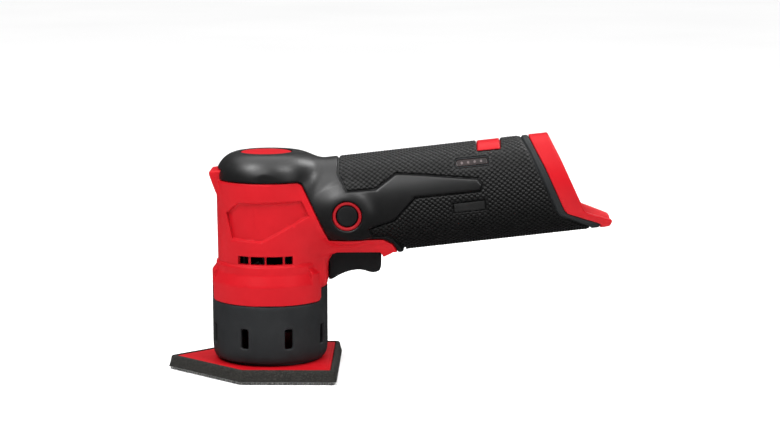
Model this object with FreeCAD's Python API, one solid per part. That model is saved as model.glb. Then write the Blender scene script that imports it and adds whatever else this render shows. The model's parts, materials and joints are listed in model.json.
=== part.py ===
"""Cordless detail sander: one STEP file per separate piece of the tool.

Row frame, millimetres: the origin lies on the sanding face under the motor axis, +Z points up
along the motor axis, +X points back along the handle and +Y to the tool's right-hand side.
"""
import FreeCAD
import Part
import math
import os

V = FreeCAD.Vector
Y_AXIS, Z_AXIS = V(0, 1, 0), V(0, 0, 1)
FAR = 200.0          # reach of the cutting blocks, well past the tool
GAP = 0.3            # running gap between pieces that move past each other
SEAT = 0.05          # gap between pieces that only sit beside each other

# ---- driving dimensions -------------------------------------------------------------------
ORBIT = 1.2          # eccentric throw: half the orbit diameter

# sanding pad
PAD_TIP, PAD_CORNER, PAD_HEEL = -56.4, -14.0, 37.5      # the tip before it is rounded
PAD_HALF_WIDTH = 39.5
HOOK_TOP, PAD_TOP = 0.9, 7.2
PAD_DRAFT = 1.6      # how far the foam's foot stands out past its top edge
PLATE_BORDER = 3.6   # foam border around the top plate
PLATE_THICK = 2.2
PAD_SCREW_RING = 17.0

# head
HEAD_R, HEAD_TOP, CAP_ROUND = 28.0, 118.9, 11.0
CAP_EDGE = 104.5     # lower edge of the soft cap on the sides
MEDALLION_R, MEDALLION_X, MEDALLION_THICK = 13.7, -1.5, 1.55
COLLAR_R, COLLAR_TOP, COLLAR_CHAMFER_Z = 31.0, 59.4, 55.4
APRON_BOTTOM, COLLAR_BOTTOM = 39.8, 46.8
APRON_HALF_ANGLE = 71.0
SHROUD_BOTTOM, SHROUD_WALL = 8.6, 2.2
SLOT_Z, SLOT_WIDTH, SLOT_COUNT, SLOT_ROUND = (16.6, 27.2), 4.3, 8, 1.5
VENT_X, VENT_Z = (-15.0, 13.6), (61.0, 65.6)

# handle: an oval tube that climbs towards the battery end
TILT = 6.55
AXIS_AT = V(72.2, 0, 92.95)
GRIP_HALF_WIDTH, GRIP_HALF_HEIGHT = 23.5, 26.9
GRIP_FRONT, GRIP_REAR = -66.0, 125.0
SKIN = 1.6           # depth of the moulded-on rubber
BOND = 0.12          # glue line between the rubber and the housing
WALL = 2.2           # thickness of the housing wall

# pieces in the handle
BUTTON_X, BUTTON_Z, BUTTON_R, BEZEL_R = 42.5, 87.2, 5.6, 7.8
BOSS_TOP = 26.0
TRIGGER_HALF = 7.6
GAUGE_X, GAUGE_Z = 107.8, 115.0

os.makedirs("parts", exist_ok=True)


# ---- helpers ------------------------------------------------------------------------------
def cylinder(radius, low, high, x=0.0, y=0.0):
    return Part.makeCylinder(radius, high - low, V(x, y, low), Z_AXIS)


def tube(outer, inner, low, high, x=0.0, y=0.0):
    return cylinder(outer, low, high, x, y).cut(cylinder(inner, low - 1, high + 1, x, y))


def rod_y(radius, low, high, x, z):
    return Part.makeCylinder(radius, high - low, V(x, low, z), Y_AXIS)


def block(x0, x1, y0, y1, z0, z1):
    return Part.makeBox(x1 - x0, y1 - y0, z1 - z0, V(x0, y0, z0))


def face_of(points):
    return Part.Face(Part.makePolygon([*points, points[0]]))


def prism(outline, y0=-FAR, y1=FAR):
    """A closed outline of (x, z) points, extruded from y0 to y1."""
    return face_of([V(x, y0, z) for x, z in outline]).extrude(V(0, y1 - y0, 0))


def plan(outline, z0, z1):
    """A closed outline of (x, y) points, extruded from z0 to z1."""
    return face_of([V(x, y, z0) for x, y in outline]).extrude(V(0, 0, z1 - z0))


def fuse(first, *others):
    return first.multiFuse(list(others)).removeSplitter()


def cut_all(shape, tools):
    for tool in tools:
        shape = shape.cut(tool)
    return shape


def left_half(shape):
    return shape.common(block(-FAR, FAR, -FAR, -SEAT / 2, -FAR, FAR))


def right_half(shape):
    return shape.common(block(-FAR, FAR, SEAT / 2, FAR, -FAR, FAR))


def save(node, shape):
    solids = [s for s in shape.Solids if s.Volume > 1.0 or len(shape.Solids) == 1]
    made = solids[0] if len(solids) == 1 else Part.makeCompound(solids)
    bad = [s for s in solids if not s.isValid()]
    box = made.BoundBox
    least = min(s.Volume for s in solids)
    print(f"{node:24s} solids {len(solids):2d} (least {least:8.1f} mm3)  {made.Volume / 1000:7.2f} cm3"
          f"  x {box.XMin:6.1f} {box.XMax:6.1f}  z {box.ZMin:6.1f} {box.ZMax:6.1f}"
          + ("  INVALID" if bad else ""))
    made.exportStep(f"parts/{node}.step")


def along_handle(s):
    """The point a distance s along the handle's axis."""
    t = math.radians(TILT)
    return AXIS_AT + V(math.cos(t) * s, 0, math.sin(t) * s)


# ---- outer body, with an inset ------------------------------------------------------------
def head_solid(inset, low=COLLAR_BOTTOM):
    """The round head, domed at its top, as a solid of revolution."""
    r, top, round_r = HEAD_R - inset, HEAD_TOP - inset, CAP_ROUND - inset / 2
    edge = Part.Arc(V(r, 0, top - round_r),
                    V(r - round_r * (1 - math.sqrt(0.5)), 0, top - round_r * (1 - math.sqrt(0.5))),
                    V(r - round_r, 0, top))
    sides = [Part.makeLine(V(0, 0, low), V(r, 0, low)),
             Part.makeLine(V(r, 0, low), V(r, 0, top - round_r)),
             edge.toShape(),
             Part.makeLine(V(r - round_r, 0, top), V(0, 0, top)),
             Part.makeLine(V(0, 0, top), V(0, 0, low))]
    return Part.Face(Part.Wire(sides)).revolve(V(0, 0, 0), Z_AXIS, 360)


def oval_at(s, inset):
    """The handle's oval section at s, square to its axis."""
    t = math.radians(TILT)
    up = V(-math.sin(t), 0, math.cos(t))
    centre = along_handle(s)
    oval = Part.Ellipse(centre + up * (GRIP_HALF_HEIGHT - inset),
                        centre + Y_AXIS * (GRIP_HALF_WIDTH - inset), centre)
    return Part.Wire([oval.toShape()])


def handle_solid(inset, front=GRIP_FRONT, rear=GRIP_REAR):
    return Part.Face(oval_at(front, inset)).extrude(along_handle(rear) - along_handle(front))


def web_solid(inset):
    """The web behind the head, which carries the front of the trigger."""
    return block(0, 32.0 - inset, -(15.0 - inset), 15.0 - inset, COLLAR_BOTTOM, 80)


def underside_cut(inset):
    """What is cut away under the handle to leave room for the trigger and the hand."""
    return prism([(32.0 - inset, 30), (32.0 - inset, 60.5), (33.6 - inset, 64.2 + inset),
                  (37.5, 65.6 + inset), (59.6, 65.2 + inset), (61.4 - inset, 62.9 + inset),
                  (66.6, 65.3 + inset), (72.4, 65.2), (72.4, 30)])


def body(inset, low=COLLAR_BOTTOM):
    """The whole outer body, inset on every side."""
    joined = fuse(head_solid(inset, low), handle_solid(inset), web_solid(inset))
    return joined.cut(underside_cut(inset))


# ---- outlines of the colour areas, in the side view ---------------------------------------
REAR_END = [(148.6, 129.0), (165.9, 94.2), (168.2, 90.6), (181.4, 86.2), (182.9, 84.8),
            (182.3, 79.2), (180.9, 77.3)]
RED_REAR = [(136.6, 131.0), (146.3, 112.2), (156.4, 90.6), (158.4, 88.4), (175.4, 81.9), (176.6, 74.0)]
TRIM_FRONT = [(131.8, 131.0), (152.4, 89.4), (154.8, 86.4), (170.0, 79.6), (171.2, 73.0)]
RED_EDGE = [(16.6, CAP_EDGE), (18.4, 103.6), (32.7, 73.7), (61.0, 73.7), (66.6, 70.6), (70.6, 64.0)]
ARM = [(37.0, 130.0), (36.9, 108.5), (41.9, 99.8), (57.5, 100.8), (67.9, 108.7), (80.7, 108.3),
       (110.7, 106.6), (113.4, 103.4), (111.9, 100.5), (78.2, 97.0), (66.8, 84.5), (53.8, 80.0),
       (56.2, 75.6), (63.0, 75.4), (67.4, 73.0), (72.4, 66.6), (72.4, 50.0)]
BIB_HALF_WIDTH, BIB_TOP = 11.0, 109.3
COLLAR_SPLIT = 0.35  # open groove between two colour areas


def moved_back(outline, distance):
    """An outline that runs from top to bottom, moved square to itself away from the head."""
    runs = [V(x1 - x0, 0, z1 - z0).normalize()
            for (x0, z0), (x1, z1) in zip(outline, outline[1:])]
    sides = [V(-run.z, 0, run.x) for run in runs]
    moved = []
    for k, (x, z) in enumerate(outline):
        before, after = sides[max(k - 1, 0)], sides[min(k, len(sides) - 1)]
        step = (before + after) * (distance / (1 + before.dot(after)))
        moved.append((x + step.x, z + step.z))
    return moved


def ahead_of(outline, distance=0.0):
    """Everything on the head's side of an outline that runs from top to bottom."""
    line = moved_back(outline, distance)
    return prism([(-FAR, line[0][1] + 60), (line[0][0], line[0][1] + 60), *line,
                  (line[-1][0], -FAR), (-FAR, -FAR)])


def behind(outline, distance=0.0):
    """Everything on the battery's side of an outline that runs from top to bottom."""
    line = moved_back(outline, distance)
    return prism([(line[0][0], 200), *line, (line[-1][0], -FAR), (FAR, -FAR), (FAR, 200)])


def soft_area():
    """Where rubber covers the housing: the cap, the neck and the handle up to the collar."""
    area = prism([(-FAR, CAP_EDGE), *RED_EDGE, (70.6, -FAR), (FAR, -FAR), (FAR, FAR), (-FAR, FAR)])
    bib = block(-FAR, -18, -BIB_HALF_WIDTH, BIB_HALF_WIDTH, CAP_EDGE - 5, BIB_TOP)
    return area.common(ahead_of(RED_REAR)).cut(bib)


def grip_area(margin=0.0):
    """The textured part of the rubber."""
    line = moved_back(ARM, margin)
    area = prism([*line, (FAR, 50), (FAR, 140), (line[0][0], 140)])
    return area.common(ahead_of(TRIM_FRONT, -margin))


def boss(side):
    """The round dome that carries the lock button; side is -1 for the left and 1 for the right."""
    foot_y = 21.0
    return Part.makeCone(13.5, 8.6, BOSS_TOP - foot_y, V(BUTTON_X, side * foot_y, BUTTON_Z),
                         V(0, side, 0))


# ---- sanding pad --------------------------------------------------------------------------
def pad_outline(inset):
    """The pad's flat-iron plan, drawn in by inset."""
    nose = math.atan2(PAD_HALF_WIDTH, PAD_CORNER - PAD_TIP)
    back = inset / math.sin(nose)
    corner = inset * math.tan(math.pi / 4 - (math.pi / 4 - nose / 2))
    w = PAD_HALF_WIDTH - inset
    return [(PAD_TIP + back, 0), (PAD_CORNER + corner, w), (PAD_HEEL - inset, w),
            (PAD_HEEL - inset, -w), (PAD_CORNER + corner, -w)]


def pad_layer(z0, z1, inset0, inset1, round_r):
    """A slab of the pad whose outline goes from inset0 at z0 to inset1 at z1, corners rounded."""
    def wire(z, inset):
        flat = plan(pad_outline(inset), z, z + 1)
        upright = [e for e in flat.Edges if abs(e.tangentAt(e.FirstParameter).z) > 0.99]
        rounded = flat.makeFillet(round_r, upright)
        return next(f for f in rounded.Faces
                    if abs(f.CenterOfMass.z - z) < 1e-6 and abs(f.normalAt(0, 0).z) > 0.9).OuterWire
    return Part.makeLoft([wire(z0, inset0), wire(z1, inset1)], True, True)


PAD_SCREWS = [(ORBIT + PAD_SCREW_RING * math.cos(math.radians(a)),
               PAD_SCREW_RING * math.sin(math.radians(a))) for a in (0, 90, 180, 270)]


def make_pad():
    screw_wells = [cylinder(3.6, -1, PAD_TOP - PLATE_THICK + 0.01, x, y) for x, y in PAD_SCREWS]
    screw_holes = [cylinder(1.7, 0, PAD_TOP + 1, x, y) for x, y in PAD_SCREWS]
    hook = pad_layer(0, HOOK_TOP, 0.0, 0.0, 2.0)
    foam = pad_layer(HOOK_TOP, PAD_TOP, 0.0, PAD_DRAFT, 2.0)
    tray = pad_layer(PAD_TOP - PLATE_THICK, PAD_TOP + 1, PLATE_BORDER, PLATE_BORDER, 1.5)
    plate = pad_layer(PAD_TOP - PLATE_THICK, PAD_TOP, PLATE_BORDER + SEAT, PLATE_BORDER + SEAT, 1.5)
    save("hook_sheet", cut_all(hook, screw_wells))
    save("foam_pad", cut_all(foam.cut(tray), screw_wells))
    save("pad_plate", cut_all(plate, screw_holes))
    screws = [fuse(cylinder(3.0, PAD_TOP - PLATE_THICK - 1.8, PAD_TOP - PLATE_THICK, x, y),
                   cylinder(1.5, PAD_TOP - PLATE_THICK - 0.5, PAD_TOP + 5.5, x, y))
              for x, y in PAD_SCREWS]
    sockets = [cylinder(1.1, 0, PAD_TOP - PLATE_THICK - 0.8, x, y) for x, y in PAD_SCREWS]
    save("pad_screws", Part.makeCompound([cut_all(s, [k]) for s, k in zip(screws, sockets)]))


# ---- orbit drive --------------------------------------------------------------------------
LEG_RING, LEG_R, LEG_ANGLES = 23.4, 2.5, (45, 135, 225, 315)
LEG_LOW, LEG_HIGH = 11.0, 47.0
PLATEN_R, PLATEN_TOP = 26.9, 9.4
HUB_R, HUB_TOP = 13.6, 22.0
PAD_BEARING = (11.0, 4.0, 14.0, 21.0)       # outer radius, bore radius, low, high
LOWER_BEARING = (11.0, 4.0, 49.5, 56.5)
UPPER_BEARING = (9.5, 3.0, 106.0, 112.0)
CARRIER_Z = (46.9, 50.0)


def leg_places(offset):
    return [(offset + LEG_RING * math.cos(math.radians(a)), LEG_RING * math.sin(math.radians(a)))
            for a in LEG_ANGLES]


def make_platen():
    disc = cylinder(PLATEN_R, PAD_TOP, PLATEN_TOP, ORBIT)
    hub = cylinder(HUB_R, PAD_TOP, HUB_TOP, ORBIT)
    cups = [cylinder(LEG_R + 1.0, PAD_TOP, 14.0, x, y) for x, y in leg_places(ORBIT)]
    ribs = []
    for a in LEG_ANGLES:
        rib = block(HUB_R - 1, LEG_RING - LEG_R, -0.9, 0.9, PLATEN_TOP - 0.2, 13.0)
        rib.rotate(V(0, 0, 0), Z_AXIS, a)
        rib.translate(V(ORBIT, 0, 0))
        ribs.append(rib)
    seats = [cylinder(LEG_R + 0.15, LEG_LOW - 0.2, 15, x, y) for x, y in leg_places(ORBIT)]
    bearing_seat = cylinder(PAD_BEARING[0] + 0.02, PAD_BEARING[2], HUB_TOP + 1, ORBIT)
    nut_well = cylinder(6.0, PAD_TOP + 1.0, PAD_BEARING[2] + 0.1, ORBIT)
    screw_holes = [cylinder(1.5, PAD_TOP - 1, PAD_TOP + 5.5, x, y) for x, y in PAD_SCREWS]
    bosses = [cylinder(3.0, PAD_TOP, PAD_TOP + 6.5, x, y) for x, y in PAD_SCREWS]
    platen = fuse(disc, hub, *cups, *ribs, *bosses)
    save("platen", cut_all(platen, [*seats, bearing_seat, nut_well, *screw_holes]))
    legs = []
    for (x0, y0), (x1, y1) in zip(leg_places(ORBIT), leg_places(0)):
        foot, top = V(x0, y0, LEG_LOW), V(x1, y1, LEG_HIGH)
        legs.append(Part.makeCylinder(LEG_R - 0.1, (top - foot).Length, foot, top - foot))
    save("isolator_legs", Part.makeCompound(legs))


def ball_bearing(r_out, r_in, low, high, x=0.0):
    """Rings and balls of one deep-groove bearing, each a separate solid."""
    mid, race = (r_in + r_out) / 2, (low + high) / 2
    ball = (r_out - r_in) * 0.22
    inner = tube(mid - ball * 0.62, r_in, low, high, x)
    outer = tube(r_out, mid + ball * 0.62, low, high, x)
    groove = Part.makeTorus(mid, ball + 0.02, V(x, 0, race), Z_AXIS)
    count = 8
    balls = [Part.makeSphere(ball, V(x + mid * math.cos(2 * math.pi * k / count),
                                     mid * math.sin(2 * math.pi * k / count), race))
             for k in range(count)]
    return inner.cut(groove), outer.cut(groove), balls


def make_drive():
    shaft = fuse(cylinder(3.0, 56.5, 113.0), cylinder(4.0, 40.0, 57.0),
                 cylinder(6.0, 37.0, 49.4))
    weight = fuse(cylinder(10.5, 28.0, 44.0),
                  cylinder(19.0, 32.0, 43.0).cut(block(-3, FAR, -FAR, FAR, 0, FAR)))
    weight = weight.cut(cylinder(6.0 + 0.01, 36.9, FAR))
    pin = fuse(cylinder(4.0, 13.0, 28.2, ORBIT), cylinder(5.4, 21.1, 28.2, ORBIT))
    save("motor_shaft", shaft)
    save("eccentric_counterweight", fuse(weight, pin).cut(cylinder(1.25, 12, 22, ORBIT)))
    washer = tube(5.4, 1.6, 12.0, 12.95, ORBIT)
    screw = fuse(cylinder(3.4, 9.4, 11.95, ORBIT), cylinder(1.2, 11.5, 21.0, ORBIT))
    socket = cylinder(1.3, 9.0, 10.8, ORBIT)
    save("eccentric_washer", washer)
    save("eccentric_screw", screw.cut(socket))
    rotor = tube(12.4, 3.0, 71.0, 99.0)
    save("rotor", rotor)
    hub = fuse(tube(6.0, 3.0, 58.4, 67.0), tube(24.4, 3.0, 66.0, 67.2))
    blades = []
    for k in range(13):
        blade = block(9.5, 24.2, -0.55, 0.55, 59.4, 66.1)
        blade.rotate(V(9.5, 0, 0), Z_AXIS, 28)
        blade.rotate(V(0, 0, 0), Z_AXIS, 360 * k / 13)
        blades.append(blade.common(cylinder(24.3, 50, 70)))
    save("cooling_fan", fuse(hub, *blades))


def make_bearings():
    for node, sizes, x in (("upper_bearing", UPPER_BEARING, 0), ("lower_bearing", LOWER_BEARING, 0),
                           ("pad_bearing", PAD_BEARING, ORBIT)):
        inner, outer, balls = ball_bearing(*sizes, x)
        save(node + "_inner", inner)
        save(node + "_outer", Part.makeCompound([outer, *balls]))


def make_motor():
    """Stator laminations with twelve slots, its windings and the sensor board above."""
    core = tube(24.8, 13.0, 73.0, 97.0)
    windings = []
    for k in range(12):
        slot = block(15.0, 21.2, -2.6, 2.6, 70, 100)
        mouth = block(12.0, 15.5, -0.9, 0.9, 70, 100)
        coil = block(15.3, 20.9, -2.3, 2.3, 69.5, 100.5)
        for part in (slot, mouth, coil):
            part.rotate(V(0, 0, 0), Z_AXIS, 30 * k)
        core = core.cut(slot).cut(mouth)
        windings.append(coil)
    save("stator_core", core)
    save("stator_windings", Part.makeCompound(windings))
    board = tube(22.0, 10.5, 102.0, 103.4)
    parts = [block(13.0, 17.0, -2.5, 2.5, 103.4, 104.6), block(-17, -13, -2.5, 2.5, 103.4, 104.6)]
    save("sensor_board", fuse(board, *parts))


def make_carrier():
    """Aluminium plate that holds the lower bearing and the tops of the legs."""
    plate = cylinder(27.6, *CARRIER_Z)
    hub = cylinder(14.0, CARRIER_Z[0], LOWER_BEARING[3])
    cups = [cylinder(LEG_R + 1.6, CARRIER_Z[0] - 3.9, CARRIER_Z[1], x, y) for x, y in leg_places(0)]
    seats = [cylinder(LEG_R + 0.1, CARRIER_Z[0] - 5, LEG_HIGH + 0.3, x, y) for x, y in leg_places(0)]
    bore = cylinder(LOWER_BEARING[0] + 0.02, LOWER_BEARING[2], FAR)
    through = cylinder(8.0, 40, FAR)
    save("bearing_carrier", cut_all(fuse(plate, hub, *cups), [*seats, bore, through]))


# ---- shroud -------------------------------------------------------------------------------
def sector(half_angle, centre_angle, radius, low, high):
    """A wedge about the motor axis, as wide as half_angle each side of centre_angle."""
    a0, a1 = (math.radians(centre_angle + s * half_angle) for s in (-1, 1))
    tip = [(0, 0), (radius * math.cos(a0), radius * math.sin(a0)),
           (radius * 1.4 * math.cos(math.radians(centre_angle)),
            radius * 1.4 * math.sin(math.radians(centre_angle))),
           (radius * math.cos(a1), radius * math.sin(a1))]
    return plan(tip, low, high)


def make_shroud():
    outer = cylinder(COLLAR_R, SHROUD_BOTTOM, COLLAR_BOTTOM - SEAT)
    rims = [e for e in outer.Edges if abs(e.BoundBox.ZMax - SHROUD_BOTTOM) < 1e-6
            and e.BoundBox.DiagonalLength > 10]
    outer = outer.makeFillet(1.8, rims)
    ring = outer.cut(cylinder(COLLAR_R - SHROUD_WALL, SHROUD_BOTTOM - 1, 60))
    for centre in (90, -90):
        ring = ring.cut(sector(APRON_HALF_ANGLE + 0.4, centre, 60, APRON_BOTTOM - SEAT, 60))
    lip_r, lip_low = COLLAR_R - SHROUD_WALL - 1.3, 36.5
    ring = fuse(ring, tube(COLLAR_R - SHROUD_WALL + 0.3, lip_r, lip_low, APRON_BOTTOM - SEAT),
                tube(COLLAR_R - SHROUD_WALL - 2 * SEAT, lip_r, lip_low, 44.0))
    for k in range(SLOT_COUNT):
        low, high = SLOT_Z
        slot = block(20, 40, -SLOT_WIDTH / 2, SLOT_WIDTH / 2, low, high)
        slot = slot.makeFillet(SLOT_ROUND, [e for e in slot.Edges
                                            if abs(e.tangentAt(e.FirstParameter).x) > 0.99])
        slot.rotate(V(0, 0, 0), Z_AXIS, 22.5 + 45 * k)
        ring = ring.cut(slot)
    save("dust_shroud", ring)


# ---- housing and rubber -------------------------------------------------------------------
SCREWS = [(-17.5, 109.6, 13.4), (17.5, 109.6, 13.4), (28.6, 69.5, 13.4), (69.0, 111.4, 9.0),
          (76.0, 75.4, 9.0), (90.6, 113.2, 9.0), (90.6, 77.2, 9.0)]      # x, z, y under the head
SCREW_R, SCREW_BOSS_R, SCREW_HEAD_R = 1.5, 3.2, 2.9
HANDLE_PARTITION = 96.5


def collar_ring():
    """The wide foot of the housing with its two aprons over the shroud."""
    profile = [V(20, 0, COLLAR_BOTTOM), V(COLLAR_R, 0, COLLAR_BOTTOM),
               V(COLLAR_R, 0, COLLAR_CHAMFER_Z), V(HEAD_R - 0.5, 0, COLLAR_TOP), V(20, 0, COLLAR_TOP)]
    ring = face_of(profile).revolve(V(0, 0, 0), Z_AXIS, 360)
    apron = tube(COLLAR_R, COLLAR_R - SHROUD_WALL, APRON_BOTTOM, COLLAR_BOTTOM + 0.1)
    aprons = [apron.common(sector(APRON_HALF_ANGLE, c, 60, APRON_BOTTOM - 1, 60)) for c in (90, -90)]
    return fuse(ring, *aprons)


def head_hollow():
    """The room for the motor, its fan, the bearing carrier and the drive."""
    return fuse(cylinder(24.9, 57.0, 101.8), cylinder(22.4, 101.0, 105.9),
                cylinder(UPPER_BEARING[0] + 0.02, 105.0, UPPER_BEARING[3] + 0.2),
                cylinder(5.0, 112.0, 114.2),
                cylinder(27.7, CARRIER_Z[0] - 0.1, 57.2), cylinder(28.75, 30, CARRIER_Z[0]))


def side_pocket():
    """The stepped recess above each apron: a band set in, then a slope back out."""
    outline = [V(HEAD_R + 0.6, 0, COLLAR_TOP + 2), V(HEAD_R + 0.6, 0, 56.0),
               V(COLLAR_R + 0.01, 0, 50.4), V(40, 0, 50.4), V(40, 0, COLLAR_TOP + 2)]
    ring = face_of(outline).revolve(V(0, 0, 0), Z_AXIS, 360)
    return [ring.common(sector(56, c, 60, 45, 65)) for c in (90, -90)]


def build_housing():
    """Both housing halves as one shape, before it is cut in two."""
    outside, under_skin = body(0.0), body(SKIN)
    hard = outside.cut(soft_area()).fuse(under_skin)
    hard = fuse(hard, collar_ring(),
                prism([(-27.0, 94.0), (-31.4, 107.0), (-31.5, 108.8), (-28.2, BIB_TOP), (-20, BIB_TOP),
                       (-20, 94.0)],
                      -BIB_HALF_WIDTH + SEAT, BIB_HALF_WIDTH - SEAT))
    hard = cut_all(hard, side_pocket())
    room = handle_solid(SKIN + WALL, front=-40, rear=GRIP_REAR + 5)
    room = room.cut(underside_cut(SKIN + WALL)).cut(cylinder(27.2, 40, 140))
    hard = hard.cut(room).cut(head_hollow())
    hard = hard.cut(block(22, 40, -6, 6, 84, 100))          # wire passage, handle to motor
    return hard


def screw_bosses():
    return [rod_y(SCREW_BOSS_R, -21, 21, x, z) for x, z, seat in SCREWS]


def make_housing():
    hard = build_housing()
    inside = body(SKIN + WALL / 2)
    for pillar in screw_bosses():
        hard = hard.fuse(pillar.common(inside))
    partition = handle_solid(SKIN + WALL / 2).common(
        block(HANDLE_PARTITION - 1, HANDLE_PARTITION + 1, -FAR, FAR, 40, 140))
    hard = hard.fuse(partition.cut(block(90, 100, -12, 12, 86, 110)))
    cuts = [ahead_of_rear_cut(), trigger_bay(), *vent_cuts(), *button_cuts(), *gauge_cuts()]
    for x, z, seat in SCREWS:
        cuts += [rod_y(SCREW_R + 0.1, -12, 40, x, z), rod_y(SCREW_HEAD_R + 0.15, seat, 40, x, z)]
    hard = cut_all(hard, cuts)
    save("left_housing", left_half(hard))
    save("right_housing", right_half(hard))
    screws = []
    for x, z, seat in SCREWS:
        screw = fuse(rod_y(SCREW_HEAD_R, seat, seat + 2, x, z), rod_y(SCREW_R, -10, seat + 0.5, x, z))
        screws.append(screw.cut(rod_y(1.2, seat + 0.8, seat + 3, x, z)))
    save("housing_screws", Part.makeCompound(screws))


def ahead_of_rear_cut():
    """Everything behind the housing's own rear edge, which the red collar covers."""
    return behind(RED_REAR, -SEAT)


def trigger_bay():
    return block(32.0, 60.6, -TRIGGER_HALF - GAP, TRIGGER_HALF + GAP, 40, 73.0)


def vent_cuts():
    """Two rows of outlet slots, each row in a shallow recess, opposite the fan."""
    x0, x1 = VENT_X
    z0, z1 = VENT_Z
    cuts = [block(x0, x1, s * 26.4, s * 40, z0, z1) if s > 0 else block(x0, x1, -40, -26.4, z0, z1)
            for s in (-1, 1)]
    for a, b in ((-13.7, -9.6), (-7.9, -1.2), (0.4, 8.0), (9.7, 12.5)):
        cuts += [block(a, b, -40, -15, z0, z1), block(a, b, 15, 40, z0, z1)]
    return cuts


def button_cuts():
    bezel = rod_y(BEZEL_R + SEAT, -40, -17.0, BUTTON_X, BUTTON_Z)
    return [bezel]


def gauge_frame(grow, y0, y1):
    """The charge gauge's slanted window outline."""
    t = math.radians(TILT)
    c, s = math.cos(t), math.sin(t)
    w, h = 8.7 + grow, 2.2 + grow
    corners = [(-w, 0.4), (-w + 1.4, h), (w - 1.4, h), (w, h - 1.4), (w, -h), (-w + 1.4, -h)]
    return prism([(GAUGE_X + u * c - v * s, GAUGE_Z + u * s + v * c) for u, v in corners], y0, y1)


def gauge_cuts():
    return [gauge_frame(SEAT, -40, -8)]


def label_cut(grow):
    """The window over the top of the handle that shows the blank rating plate."""
    return prism([(110.6 - grow, 140), (110.8 - grow, 120.0 - grow), (123.0 + grow, 121.2 - grow),
                  (123.0 + grow, 140)])


def badge_plate(grow, side, inner=18.0):
    return prism([(97.8 - grow, 94.0 + grow), (98.4 - grow, 88.4 - grow), (115.4 + grow, 90.3 - grow),
                  (115.0 + grow, 96.0 + grow)], *sorted((side * inner, side * 40.0)))


def make_rubber():
    """The soft skin: smooth over the cap, neck and arms, textured on the grip."""
    full = body(0.0, 60.0).fuse(boss(-1)).fuse(boss(1))
    shell = full.cut(body(SKIN - BOND, 50.0)).common(soft_area())
    disc = cylinder(MEDALLION_R + SEAT, HEAD_TOP - SKIN - 0.2, FAR, MEDALLION_X)
    screws = [rod_y(SCREW_HEAD_R + 0.4, seat, 40, x, z) for x, z, seat in SCREWS]
    smooth = cut_all(shell, [disc, behind(TRIM_FRONT), *button_cuts(), *screws])
    smooth = smooth.cut(grip_area(-COLLAR_SPLIT / 2))
    grip = shell.common(grip_area(COLLAR_SPLIT / 2))
    grip = cut_all(grip, [*gauge_cuts(), label_cut(0.0), badge_plate(0.0, -1), badge_plate(0.0, 1),
                          *screws])
    trim = shell.cut(ahead_of(TRIM_FRONT, COLLAR_SPLIT / 2)).common(ahead_of(RED_REAR, -SEAT))
    save("left_cap_skin", left_half(smooth))
    save("right_cap_skin", right_half(smooth))
    save("left_grip", left_half(grip))
    save("right_grip", right_half(grip))
    save("trim_ring", trim)
    plates = [body(0.5, 90.0).cut(body(SKIN - BOND, 80.0)).common(badge_plate(-0.1, s))
              for s in (-1, 1)]
    save("blank_badges", Part.makeCompound(plates))
    label = body(0.3, 90.0).cut(body(SKIN - BOND, 80.0)).common(label_cut(-0.1))
    save("blank_rating_plate", label)
    save("top_medallion", cylinder(MEDALLION_R, HEAD_TOP - MEDALLION_THICK, HEAD_TOP, MEDALLION_X))


def make_rear_collar():
    ring = handle_solid(0.0).cut(handle_solid(SKIN + WALL, rear=GRIP_REAR + 5))
    ring = ring.cut(ahead_of(RED_REAR)).cut(behind(REAR_END))
    save("rear_collar", ring)


# ---- trigger, switch, button, electronics -------------------------------------------------
def make_trigger():
    lever = [V(32.3, 0, 67.0), V(59.6, 0, 67.0), V(59.4, 0, 57.4), V(57.4, 0, 54.9), V(54.9, 0, 54.4),
             V(47.0, 0, 55.9), V(39.4, 0, 54.5), V(33.9, 0, 50.9), V(32.3, 0, 50.6)]
    curve = Part.Arc(lever[5 - 1], lever[5], lever[5 + 1]).toShape()
    sides = [Part.makeLine(lever[0], lever[1]), Part.makeLine(lever[1], lever[2]),
             Part.makeLine(lever[2], lever[3]), Part.makeLine(lever[3], lever[4]), curve,
             Part.makeLine(lever[6], lever[7]), Part.makeLine(lever[7], lever[8]),
             Part.makeLine(lever[8], lever[0])]
    face = Part.Face(Part.Wire(sides))
    face.translate(V(0, -TRIGGER_HALF, 0))
    trigger = face.extrude(V(0, 2 * TRIGGER_HALF, 0))
    hollow = block(35, 57, -TRIGGER_HALF + 2, TRIGGER_HALF - 2, 59.0, 70)
    post = cylinder(2.5, 58.5, 67.0, 48)
    save("trigger", trigger.cut(hollow).fuse(post).removeSplitter())
    save("switch_plunger", cylinder(2.0, 67.02, 80.0, 48))
    coil = spring(V(48, 0, 67.15), Z_AXIS, 3.2, 0.35, 6.9, 5)
    save("trigger_spring", coil)
    switch = block(37.0, 62.5, -8.6, 8.6, 74.2, 93.5)
    switch = switch.cut(cylinder(2.0 + GAP, 70, 86.0, 48))
    tabs = [block(62.5, 66.5, y - 0.4, y + 0.4, 80, 84) for y in (-5, 0, 5)]
    save("trigger_switch", fuse(switch, *tabs))


def spring(start, axis, radius, wire, length, turns):
    """A compression spring as one swept coil."""
    helix = Part.makeLongHelix(length / turns, length - 2 * wire, radius)
    profile = Part.Wire([Part.makeCircle(wire, V(radius, 0, 0), V(0, 1, 0))])
    coil = Part.Wire(helix).makePipeShell([profile], True, True)
    coil.translate(V(0, 0, wire))
    turn = FreeCAD.Rotation(Z_AXIS, axis)
    coil.Placement = FreeCAD.Placement(start, turn).multiply(coil.Placement)
    return coil


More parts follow.
